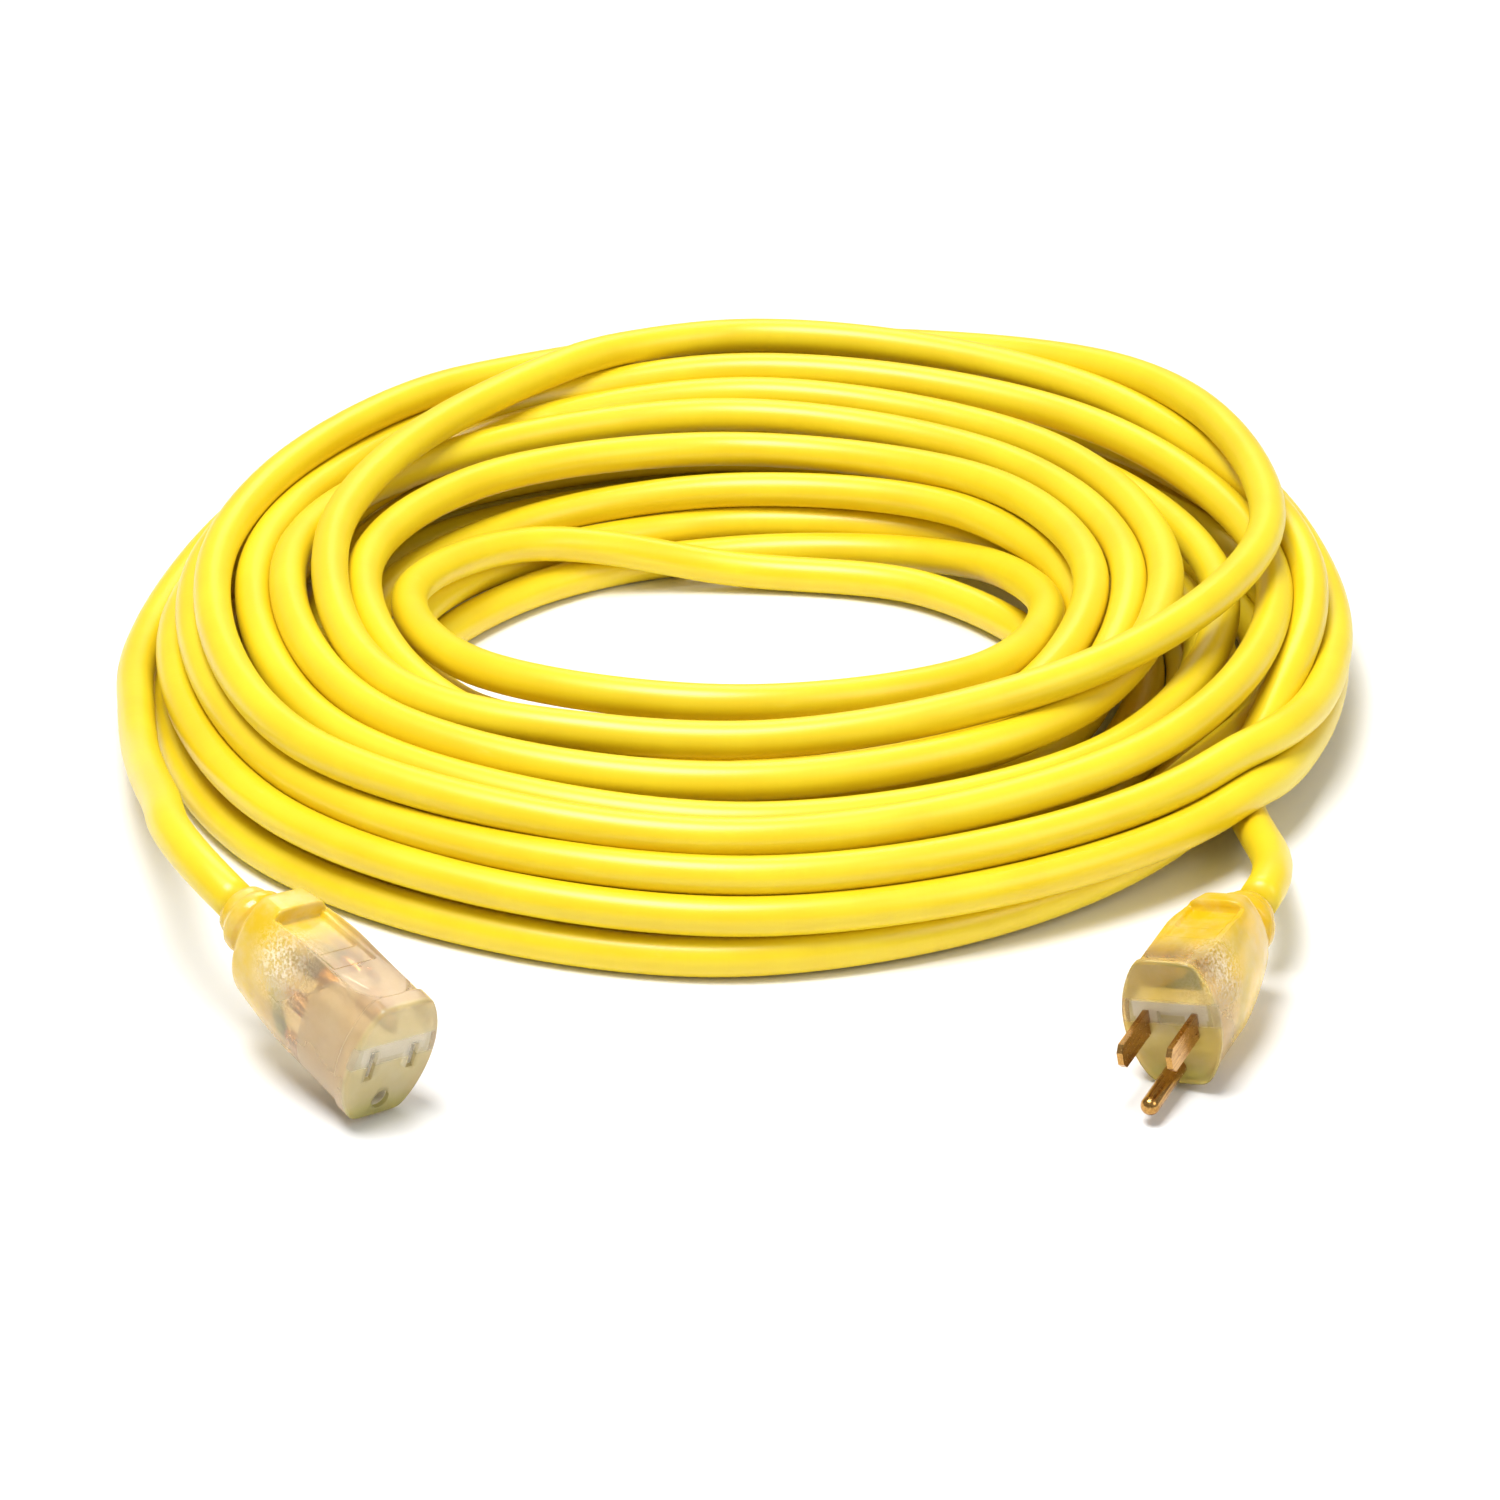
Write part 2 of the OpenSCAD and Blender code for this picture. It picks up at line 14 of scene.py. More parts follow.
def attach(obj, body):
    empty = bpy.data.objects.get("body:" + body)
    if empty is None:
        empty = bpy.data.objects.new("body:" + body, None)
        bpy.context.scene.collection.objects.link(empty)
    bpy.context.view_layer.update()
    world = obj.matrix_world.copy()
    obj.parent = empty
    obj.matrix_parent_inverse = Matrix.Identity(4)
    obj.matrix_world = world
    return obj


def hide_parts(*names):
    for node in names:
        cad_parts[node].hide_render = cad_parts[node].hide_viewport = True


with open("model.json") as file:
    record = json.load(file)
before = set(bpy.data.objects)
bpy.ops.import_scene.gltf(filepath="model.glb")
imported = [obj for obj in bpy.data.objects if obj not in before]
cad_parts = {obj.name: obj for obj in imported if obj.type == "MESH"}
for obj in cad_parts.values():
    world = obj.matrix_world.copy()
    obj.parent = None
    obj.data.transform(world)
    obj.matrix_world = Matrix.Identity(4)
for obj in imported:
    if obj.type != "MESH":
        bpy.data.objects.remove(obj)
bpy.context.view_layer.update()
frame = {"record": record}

MM = 0.001

# ---------------------------------------------------------------- camera
camera_data = bpy.data.cameras.new("camera")
camera_data.lens = 117.3
camera_data.sensor_width = 36
camera = bpy.data.objects.new("camera", camera_data)
camera.location = (0.0046, -1.2275, 0.5969)
camera.rotation_euler = (radians(64), 0, 0)
bpy.context.scene.collection.objects.link(camera)
bpy.context.scene.camera = camera

# ---------------------------------------------------------------- driving sizes, in millimetres
CORD_D = 10.4
CORD_R = CORD_D / 2
COIL_AT = np.array([0, 39, 0.0])

PLUG = dict(at=(106.5, -192.5, 18.1), turn=(-115, 4, 9), w=25.6, h=34, len=44, lip=2.2, tail=0.74)
CONNECTOR = dict(at=(-81, -209, 17.4), turn=(-49, 16, -8), w=26.5, h=34, len=51, lip=5, tail=0.84)
COLLAR_LEN = 12
LIP_STEP = 0.7
RIM = 0.9  # rounding of the face's edge
SHOULDER = 1.2  # rounding of the body's back edge
HALF_GAP = 6.35  # from the middle to each blade
PIN_DROP = 11.9  # from the blades down to the ground pin
SLOT_HALF_THICK = 1.1
LINE_SLOT_HALF = 3.6
NEUTRAL_SLOT_HALF = 4.3
SOCKET_R = 2.45
SOCKET_DEPTH = 16


def turn_matrix(turn):
    """Rotation of an end's own frame: roll about X, then nose-down pitch about Y, then yaw about Z."""
    yaw, pitch, roll = (radians(a) for a in turn)
    about_z, about_y = Matrix.Rotation(yaw, 3, "Z"), Matrix.Rotation(pitch, 3, "Y")
    return np.array(about_z @ about_y @ Matrix.Rotation(roll, 3, "X"))


def placed(points, end):
    """Points of an end's own frame (millimetres) carried to the row frame: turned, then moved."""
    return np.asarray(points, float) @ turn_matrix(end["turn"]).T + np.array(end["at"], float)


def neck_of(end, back=0.0):
    """Point on the end's axis where the cord meets the collar, or a distance behind it."""
    return placed([[-(end["len"] + COLLAR_LEN + back), 0, 0]], end)[0]


# ---------------------------------------------------------------- the cord's route
# The two uncoiled leads, from the coil to the back of each collar
PLUG_ROUTE = [
    (137, -21, 5.5), (138, -38, 5.5), (138, -55, 6.5), (139, -75, 10), (139.5, -96, 15.5),
    (138.5, -115, 20.5),
]
CONN_ROUTE = [
    (-169, 40, 14), (-168, 18, 14), (-165, -8, 16), (-160, -42, 20), (-154, -73, 27),
    (-147, -103, 34), (-140, -133, 39.5),
]

# One row for each turn, in the order in which the cord runs, clockwise seen from above.
# A row gives radius and height at left, back left, back, back right, right, front right,
# front and front left. A row that names one radius and height lies level.
TURNS = [
    [(163, 15), (168, 23), (176, 32), (177, 32), (169, 22), (165, 24), (167, 25), (160, 27)],
    [(152, 32), (156, 32), (163, 32), (168, 24), (168, 12), (170, 14), (173, 17), (168, 19)],
    [(158, 21), (163, 18), (172, 24), (172, 14), (161, 15), (161, 17), (163, 6), (160, 8)],
    [(150, 6), (149, 6), (149, 6), (147, 6), (140, 6), (144, 6), (151, 6), (151, 6)],
    [(139, 6), (138, 6), (138, 6), (136, 6), (129, 6), (132, 6), (139, 6), (139, 6)],
    [(127, 6), (127, 6), (126, 6), (124, 6), (118, 6), (121, 6), (127, 6), (127, 6)],
    [(133, 16)],
    [(128, 30), (128, 32), (132, 36), (130, 36), (122, 37), (127, 34), (131, 34), (136, 36)],
    [(125, 41), (120, 36), (119, 35), (117, 34), (112, 35), (116, 26), (119, 27), (112, 34)],
    [(104, 38), (102, 34), (106, 29), (104, 31), (101, 34), (104, 28), (108, 20), (101, 12)],
    [(92, 6), (79, 6), (81, 6), (96, 12), (90, 26), (94, 35), (96.5, 40), (98, 38)],
    [(91, 30), (82, 18), (67, 6), (77, 6), (93, 6), (100, 6), (104, 8), (103, 16)],
    [(101, 22), (97, 17), (94, 20), (98, 24), (98, 22), (98, 20), (98, 27), (100, 24)],
    [(94, 18), (91, 12), (92, 11), (98, 12), (105, 12), (110, 12), (112, 17), (113, 13)],
    [(118, 20), (124, 24), (136, 30), (140, 28), (138, 30), (142, 28), (144, 29), (142, 33)],
    [(135, 38), (138, 40), (140, 42), (148, 39), (154, 35), (155, 33), (158, 31), (159, 33)],
    [(145, 41), (140, 44), (164, 39), (168, 47), (150, 48), (126, 44), (114, 37), (124, 39)],
    [(113.5, 45), (121, 46), (157, 45), (162, 44), (162, 35), (166, 13), (174, 6), (168, 6)],
]
LAST_TURN = [(160, 6), (160, 6), (160, 6), (157, 6), (152, 6)]
STATIONS = len(TURNS[0])
STEP = 5.0  # between the points of the centreline
CONN_HELD, PLUG_HELD = 14, 24  # points at each end that stay on the drawn route


def smooth_line(points, spacing):
    """Points every `spacing` along a smooth curve through the given points.

    Each span is a cubic Hermite arc whose end slopes are the mean of the chord slopes on the two
    sides, each weighted by the length of the other chord, so short spans next to long ones stay even.
    """
    p = np.asarray(points, float)
    chord = np.diff(p, axis=0)
    length = np.linalg.norm(chord, axis=1)[:, None]
    slope = chord / length
    inner = (slope[:-1] * length[1:] + slope[1:] * length[:-1]) / (length[:-1] + length[1:])
    m = np.vstack([slope[:1], inner, slope[-1:]])[:, None, :]
    per_span = 24
    t = np.linspace(0, 1, per_span, endpoint=False)[None, :, None]
    h = length[:, None, :]
    fine = (p[:-1, None] * (1 + 2 * t) * (1 - t) ** 2 + h * m[:-1] * t * (1 - t) ** 2
            + p[1:, None] * t**2 * (3 - 2 * t) + h * m[1:] * t**2 * (t - 1))
    fine = np.vstack([fine.reshape(-1, p.shape[1]), p[-1]])
    run = np.concatenate([[0], np.cumsum(np.linalg.norm(np.diff(fine, axis=0), axis=1))])
    marks = np.linspace(0, run[-1], int(round(run[-1] / spacing)) + 1)
    return np.column_stack([np.interp(marks, run, fine[:, k]) for k in range(fine.shape[1])])


def coil_stations():
    """Row-frame points round the coil: each turn's radius and height, at equal steps of angle."""
    points = []
    for row in TURNS + [LAST_TURN]:
        stations = row if len(row) > 1 else row * STATIONS
        for k, (radius, height) in enumerate(stations):
            angle = pi - 2 * pi * k / STATIONS
            points.append(COIL_AT + [radius * np.cos(angle), radius * np.sin(angle), height])
    return points


def spread_apart(line, held, rounds):
    """Settles the turns against each other.

    Each round pushes every two points of the line that are nearer than one diameter, and not
    neighbours along it, half of the lack apart; lifts all above the floor by one radius; makes
    the offset from the drawn route change slowly along the cord; and eases it back to the route.
    The last rounds smooth less and no longer ease, so the turns end up a full diameter apart.
    """
    gap = CORD_D * 1.015
    reach = gap + 7
    skip = int(2.2 * CORD_D / STEP) + 1
    rounds_per_search, block_size = 12, 400
    speed, most = 0.45, 1.5
    smooth, smooth_at_last, ease = 0.5, 0.15, 0.996
    above_floor = CORD_R + 0.1
    drawn = line.copy()
    offset = np.zeros_like(line)
    free = np.ones((len(line), 1))
    free[:held[0]] = 0
    free[len(line) - held[1]:] = 0
    for turn in range(rounds):
        now = drawn + offset
        if turn % rounds_per_search == 0:
            pairs = []
            for start in range(0, len(now), block_size):
                block = now[start:start + block_size]
                i, j = np.nonzero(np.linalg.norm(block[:, None] - now[None], axis=2) < reach)
                i += start
                keep = j - i > skip
                pairs.append(np.stack([i[keep], j[keep]]))
            first, second = np.concatenate(pairs, axis=1)
        away = now[first] - now[second]
        distance = np.maximum(np.linalg.norm(away, axis=1), 1e-6)
        lack = np.clip(gap - distance, 0, None)
        push = away * (0.5 * lack / distance)[:, None]
        moved = np.zeros_like(now)
        for axis in range(3):
            moved[:, axis] += np.bincount(first, push[:, axis], len(now))
            moved[:, axis] -= np.bincount(second, push[:, axis], len(now))
        offset = offset + free * np.clip(speed * moved, -most, most)
        middle = 0.5 * (offset[:-2] + offset[2:])
        last_rounds = turn > rounds * 0.85
        share = smooth_at_last if last_rounds else smooth
        offset[1:-1] += share * free[1:-1] * (middle - offset[1:-1])
        if not last_rounds:
            offset *= ease
        height = drawn[:, 2] + offset[:, 2]
        offset[:, 2] += np.clip(above_floor - height, 0, None) * free[:, 0]
    return drawn + offset


def cord_line():
    """The cord's whole centreline, connector to plug, in millimetres.

    It leaves each collar straight for more than a diameter. The drawn points are joined by
    smooth_line, settled by spread_apart, and joined again through every second point.
    """
    lead_in = [neck_of(CONNECTOR), neck_of(CONNECTOR, 14)] + list(CONN_ROUTE[:0:-1])
    lead_out = list(PLUG_ROUTE) + [neck_of(PLUG, 12), neck_of(PLUG)]
    points = lead_in + coil_stations()[1:] + lead_out
    line = smooth_line(points, STEP)
    rounds = 420
    line = spread_apart(line, (CONN_HELD, PLUG_HELD), rounds)
    return smooth_line(line[::2], STEP)


# ---------------------------------------------------------------- mesh helpers
def new_piece(name, vertices, faces, material, uv=None):
    """A smooth mesh object at the origin, from vertex rows in metres and quad or triangle rows."""
    mesh = bpy.data.meshes.new(name)
    mesh.from_pydata(vertices.tolist(), [], faces)
    if uv is not None:
        layer = mesh.uv_layers.new(name="UVMap")
        loops = np.empty(len(mesh.loops), np.int32)
        mesh.loops.foreach_get("vertex_index", loops)
        layer.data.foreach_set("uv", uv(loops).astype(np.float32).ravel())
    mesh.polygons.foreach_set("use_smooth", np.ones(len(mesh.polygons), bool))
    mesh.materials.append(material)
    mesh.update()
    piece = bpy.data.objects.new(name, mesh)
    bpy.context.scene.collection.objects.link(piece)
    return piece


def grid_faces(rows, columns):
    """Quads of a grid that closes on itself across its columns, facing out for rows that run ahead."""
    r, c = np.meshgrid(np.arange(rows - 1), np.arange(columns), indexing="ij")
    ahead = (c + 1) % columns
    near_row, far_row = r * columns, (r + 1) * columns
    quads = np.stack([near_row + c, near_row + ahead, far_row + ahead, far_row + c], -1)
    return quads.reshape(-1, 4)


def capped_faces(rows, columns):
    """Faces of such a grid with its turn reversed, closed by a fan of triangles at each end.

    The fans meet at two points that follow the grid's own: the first row's, then the last row's.
    """
    k = np.arange(columns)
    ahead = (k + 1) % columns
    end_row = (rows - 1) * columns
    first = np.stack([np.full(columns, rows * columns), k, ahead], -1)
    last = np.stack([np.full(columns, rows * columns + 1), end_row + ahead, end_row + k], -1)
    return grid_faces(rows, columns)[:, ::-1].tolist() + first.tolist() + last.tolist()


def tube(name, line, radius, sides, material):
    """A round tube: circles of the radius across the line, with the frame carried along without twist.

    Its UV map holds metres round the tube in U and metres along it in V.
    """
    ahead = np.gradient(line, axis=0)
    ahead /= np.linalg.norm(ahead, axis=1, keepdims=True)
    side = np.empty_like(line)
    current = np.cross(ahead[0], [0, 0, 1.0])
    for k in range(len(line)):
        current = current - ahead[k] * (current @ ahead[k])
        current = current / np.linalg.norm(current)
        side[k] = current
    up = np.cross(side, ahead)
    angle = 2 * pi * np.arange(sides) / sides
    ring = np.cos(angle)[None, :, None] * side[:, None] + np.sin(angle)[None, :, None] * up[:, None]
    wall = (line[:, None] + radius * ring).reshape(-1, 3)
    vertices = np.vstack([wall, line[:1], line[-1:]])
    quad_count = (len(line) - 1) * sides
    run = np.concatenate([[0], np.cumsum(np.linalg.norm(np.diff(line, axis=0), axis=1))])

    def unwrapped(loops):
        """Angle as metres round the tube, and length run; the closing column reads the full turn."""
        row = np.minimum(loops // sides, len(line) - 1)
        column = (loops % sides).astype(float)
        quad = np.arange(len(loops)) // 4
        inside = quad < quad_count
        of_quad = np.where(inside, quad % sides, 0)
        column = np.where(inside & (of_quad == sides - 1) & (column == 0), sides, column)
        return np.column_stack([column / sides * 2 * pi * radius, run[row]])

    return new_piece(name, vertices, capped_faces(len(line), sides), material, unwrapped)


def smoothstep(low, high, x):
    """0 below low, 1 above high, and 3t^2 - 2t^3 between."""
    t = np.clip((x - low) / (high - low), 0, 1)
    return t * t * (3 - 2 * t)


def outline_radius(angle, w, h):
    """Polar radius of an end's section: two wide side arcs and two flats, with the corners rounded.

    The flat is h/2/|sin|, the arc of radius R is sqrt(R^2 - c^2 sin^2) - c|cos| with its centre c
    past the axis, and the two are joined as the -p'th root of the sum of their -p'th powers.
    """
    bulge, power = 0.22 * w, 22
    arc = ((h / 2) ** 2 + bulge**2) / (2 * bulge)
    centre = arc - w / 2
    sine, cosine = np.abs(np.sin(angle)), np.abs(np.cos(angle))
    flat = h / 2 / np.maximum(sine, 0.05)
    side = np.sqrt(arc**2 - (centre * sine) ** 2) - centre * cosine
    return (flat**-power + side**-power) ** (-1 / power)


# Rows of the distance from the collar's back edge and the radius there: rings and the grooves between
COLLAR = [(0, 6.1), (0.4, 6.7), (1.5, 7.1), (3, 7.2), (3.8, 7.9), (5, 8.7), (6.5, 8.9), (8, 8.6),
          (9, 7.8), (10, 7.7), (11, 8.2), (12, 9)]


def end_rings(end):
    """Rows of the end's surface from the middle of its face to the middle of its collar's back.

    Each row is a distance behind the face, a scale of the outline, an inset, and the share of a
    plain circle of a given radius in it: face, rounded rim, lip, body, taper, shoulder, collar.
    """
    length, lip, tail = end["len"], end["lip"], end["tail"]
    rows = [(0.0, s, 0.0, 0.0, 1.0) for s in (0.001, 0.2, 0.45, 0.7, 0.88)]
    for a in np.linspace(0, pi / 2, 7):
        rows.append((RIM * (1 - np.cos(a)), 1.0, RIM * (1 - np.sin(a)), 0.0, 1.0))
    back = np.arange(RIM + 0.3, length - SHOULDER, 0.3)
    share = np.clip((back - length / 2) / (length / 2), 0, 1)
    ease = share * share * (1.6 - 0.6 * share)
    step = LIP_STEP * smoothstep(lip - 0.1, lip + 0.5, back) * (1 - share)
    for t, u, inset in zip(back, ease, step):
        rows.append((t, 1 - (1 - tail) * u, inset, 0.0, 1.0))
    for a in np.linspace(0.1, pi / 2, 7):
        at = length - SHOULDER + SHOULDER * np.sin(a)
        rows.append((at, tail, SHOULDER * (1 - np.cos(a)), 0.0, 1.0))
    for mix in (0.35, 0.7, 0.95):
        rows.append((length + 0.05 * mix, tail, SHOULDER, mix, 9.3))
    at, radius = np.array(COLLAR).T
    for t in np.linspace(COLLAR_LEN, 0, 41):
        rows.append((length + COLLAR_LEN - t, 1.0, 0.0, 1.0, np.interp(t, at, radius)))
    for radius in (5.0, 2.5, 0.01):
        rows.append((length + COLLAR_LEN, 1.0, 0.0, 1.0, radius))
    return np.array(rows)


def thumb_recess(end, x, y, z):
    """Height of the top after the recess: a floor that slopes down to the back, deeper past each step.

    Inside a U, round at the front, the height is cut down to the floor; the edge of the U is a
    smooth step of its signed distance.
    """
    half, behind, depth, slope, edge = 8, 8, 2.2, radians(5), 0.35
    step, step_half, soft = 0.6, 6, 0.3
    along = (-end["lip"] - half) - x
    reach = end["len"] - behind - end["lip"] - half
    across = np.where(along < 0, np.hypot(along, y), np.abs(y)) - half
    inside = 1 - smoothstep(-edge, edge, np.maximum(across, along - reach))
    floor = end["h"] / 2 - depth - np.tan(slope) * along
    middle = 1 - smoothstep(step_half, step_half + 2 * soft, np.abs(y))
    for start in (8, 15):
        floor = floor - step * smoothstep(start - soft, start + soft, along) * middle
    cut = np.clip(z - floor, 0, None) * inside
    return np.where(z > 0, z - cut, z)


def end_body(name, end, material, columns=288):
    """One clear moulded end: its outline carried along the rows of end_rings, with the thumb recess."""
    rows = end_rings(end)
    angle = 2 * pi * np.arange(columns) / columns
    outline = outline_radius(angle, end["w"], end["h"])
    back, scale, inset, round_share, circle = (rows[:, k:k + 1] for k in range(5))
    shaped = np.maximum(scale * outline - inset, 0.01)
    radius = shaped * (1 - round_share) + circle * round_share
    x = -back + 0 * radius
    y = radius * np.cos(angle)
    z = radius * np.sin(angle)
    body = (back > 0.5) & (round_share < 0.5)
    z = np.where(body, thumb_recess(end, x, y, z), z)
    points = placed(np.stack([x, y, z], -1).reshape(-1, 3), end) * MM
    first = placed([[0, 0, 0]], end) * MM
    last = placed([[-(end["len"] + COLLAR_LEN), 0, 0]], end) * MM
    vertices = np.vstack([points, first, last])
    return new_piece(name, vertices, capped_faces(len(rows), columns), material)


def prism(name, outline, x0, x1, end):
    """A closed prism: an outline of (y, z) carried along X from x0 to x1 in an end's frame."""
    outline = np.asarray(outline, float)
    n = len(outline)
    both = np.vstack([np.column_stack([np.full(n, x), outline]) for x in (x0, x1)])
    faces = grid_faces(2, n).tolist() + [list(range(n))[::-1], list(range(n, 2 * n))]
    mesh = bpy.data.meshes.new(name)
    mesh.from_pydata((placed(both, end) * MM).tolist(), [], faces)
    piece = bpy.data.objects.new(name, mesh)
    bpy.context.scene.collection.objects.link(piece)
    return piece


def cut_out(piece, cutters):
    """Takes the cutters out of the piece, keeps the result as its mesh, and removes the cutters."""
    for cutter in cutters:
        change = piece.modifiers.new(cutter.name, "BOOLEAN")
        change.operation = "DIFFERENCE"
        change.solver = "EXACT"
        change.object = cutter
    bpy.context.view_layer.update()
    graph = bpy.context.evaluated_depsgraph_get()
    mesh = bpy.data.meshes.new_from_object(piece.evaluated_get(graph))
    piece.modifiers.clear()
    piece.data = mesh
    for cutter in cutters:
        bpy.data.objects.remove(cutter)


def rectangle(y, half_w, half_h):
    """Corners of an upright rectangle about (y, 0)."""
    return [(y - half_w, -half_h), (y + half_w, -half_h), (y + half_w, half_h), (y - half_w, half_h)]


def circle(z, radius, n=40):
    """Points of a circle about (0, z)."""
    angle = 2 * pi * np.arange(n) / n
    return np.column_stack([radius * np.cos(angle), z + radius * np.sin(angle)])


# ---------------------------------------------------------------- shader maths
class Value:
    """A shader socket that can be added to, multiplied and so on with others and with numbers."""

    def __init__(self, finish, socket):
        self.finish = finish
        self.socket = socket

    def math(self, operation, *terms):
        return self.finish.node("ShaderNodeMath", {"operation": operation}, dict(enumerate(terms)))

    def __add__(self, other):
        return self.math("ADD", self, other)

    def __radd__(self, other):
        return self.math("ADD", other, self)

    def __sub__(self, other):
        return self.math("SUBTRACT", self, other)

    def __rsub__(self, other):
        return self.math("SUBTRACT", other, self)

    def __mul__(self, other):
        return self.math("MULTIPLY", self, other)

    def __rmul__(self, other):
        return self.math("MULTIPLY", other, self)

    def __abs__(self):
        return self.math("ABSOLUTE", self)

    def or_more(self, other):
        return self.math("MAXIMUM", self, other)


class Finish:
    """A material: its one Principled shader, and short ways to add nodes in front of it.

    The constants are the shader's own sockets, by name in lower case with underscores.
    """

    def __init__(self, name, color, **constants):
        self.material = bpy.data.materials.new(name)
        self.material.use_nodes = True
        self.tree = self.material.node_tree
        self.shader = self.tree.nodes["Principled BSDF"]
        self.shader.inputs["Base Color"].default_value = (*color, 1)
        for key, value in constants.items():
            socket = key.replace("_", " ").title().replace("Ior", "IOR")
            self.shader.inputs[socket].default_value = value

    def node(self, kind, settings, inputs, output=0):
        """Adds a node of a kind: its settings first, then its inputs as values or links."""
        made = self.tree.nodes.new(kind)
        for key, value in settings.items():
            setattr(made, key, value)
        for key, value in inputs.items():
            if isinstance(value, Value):
                self.tree.links.new(value.socket, made.inputs[key])
            else:
                made.inputs[key].default_value = value
        return Value(self, made.outputs[output])

    def feed(self, name, value):
        self.tree.links.new(value.socket, self.shader.inputs[name])

    def milky(self, share):
        """Mixes in, by the share, a second shader that lets no light through.

        It takes the same varying inputs as the first, so it comes after the last feed.
        """
        same = {}
        for socket in self.shader.inputs:
            for link in socket.links:
                same[socket.name] = Value(self, link.from_socket)
        depth = {"Subsurface Weight": 0.15, "Subsurface Radius": (0.004, 0.003, 0.001)}
        milk = self.node("ShaderNodeBsdfPrincipled", {}, {**depth, **same})
        clear = Value(self, self.shader.outputs[0])
        both = self.node("ShaderNodeMixShader", {}, {0: share, 1: clear, 2: milk})
        self.tree.links.new(both.socket, self.tree.nodes["Material Output"].inputs["Surface"])

    def place(self):
        return self.node("ShaderNodeTexCoord", {}, {}, "Object")

    def unwrapped(self):
        return self.node("ShaderNodeTexCoord", {}, {}, "UV")

    def in_end(self, end):
        """Coordinates in an end's own frame, in metres."""
        yaw, pitch, roll = (radians(a) for a in end["turn"])
        at = tuple(MM * v for v in end["at"])
        return self.node("ShaderNodeMapping", {"vector_type": "TEXTURE"},
                         {"Vector": self.place(), "Location": at, "Rotation": (roll, pitch, yaw)})

    def stretched(self, vector, scale):
        return self.node("ShaderNodeMapping", {}, {"Vector": vector, "Scale": scale})

    def noise(self, vector, scale, detail=3.0, roughness=0.55):
        inputs = {"Vector": vector, "Scale": scale, "Detail": detail, "Roughness": roughness}
        return self.node("ShaderNodeTexNoise", {}, inputs)

    def ranged(self, value, low, high, to_low=0.0, to_high=1.0):
        """Runs smoothly from to_low to to_high as the value goes from low to high."""
        inputs = {"Value": value, "From Min": low, "From Max": high}
        inputs |= {"To Min": to_low, "To Max": to_high}
        return self.node("ShaderNodeMapRange", {"interpolation_type": "SMOOTHSTEP"}, inputs)

    def axes(self, vector):
        """The three coordinates of a vector."""
        split = self.node("ShaderNodeSeparateXYZ", {}, {"Vector": vector})
        outputs = split.socket.node.outputs
        return [Value(self, outputs[k]) for k in range(3)]

    def mixed(self, share, first, second):
        """Colour between first and second by the share."""
        first = first if isinstance(first, Value) else (*first, 1)
        second = second if isinstance(second, Value) else (*second, 1)
        return self.node("ShaderNodeMix", {"data_type": "RGBA"}, {0: share, 6: first, 7: second}, 2)

    def bumped(self, height, distance, strength=1.0):
        inputs = {"Height": height, "Distance": distance, "Strength": strength}
        self.feed("Normal", self.node("ShaderNodeBump", {}, inputs))


def near(finish, vector, centre, radius, soft):
    """1 within a radius (metres) of a point and 0 past it, with a soft edge."""
    ends = {0: vector, 1: centre}
    far = finish.node("ShaderNodeVectorMath", {"operation": "DISTANCE"}, ends, "Value")
    return finish.ranged(far, radius - soft, radius + soft, 1.0, 0.0)


def jacket_finish(name, along_uv):
    """Yellow vinyl: slightly uneven colour, fine creases across the cord, soft satin gloss."""
    finish = Finish(name, (0.84, 0.68, 0.015), specular_ior_level=0.5, coat_roughness=0.25)
    vector = finish.unwrapped() if along_uv else finish.place()
    cloud = finish.noise(vector, 28, 4)
    creases = finish.noise(finish.stretched(vector, (90, 900, 90)), 1.0, 3, 0.6)
    grain = finish.noise(finish.place(), 2600, 2)
    scuffs = finish.noise(finish.stretched(vector, (160, 30, 160)), 1.0, 5, 0.7)
    scuffs = finish.ranged(scuffs, 0.62, 0.78)
    tone = finish.mixed(finish.ranged(cloud, 0.3, 0.7), (0.82, 0.60, 0.008), (0.86, 0.68, 0.014))
    tone = finish.mixed(creases * 0.2, tone, (0.72, 0.50, 0.01))
    tone = finish.mixed(scuffs * 0.25, tone, (0.86, 0.78, 0.16))
    finish.feed("Base Color", tone)
    finish.feed("Roughness", 0.34 + cloud * 0.1 + scuffs * 0.15)
    finish.feed("Coat Weight", 0.18 - scuffs * 0.12)
    finish.bumped(creases * 0.7 + grain * 0.3, 0.00012, 0.35)
    return finish.material


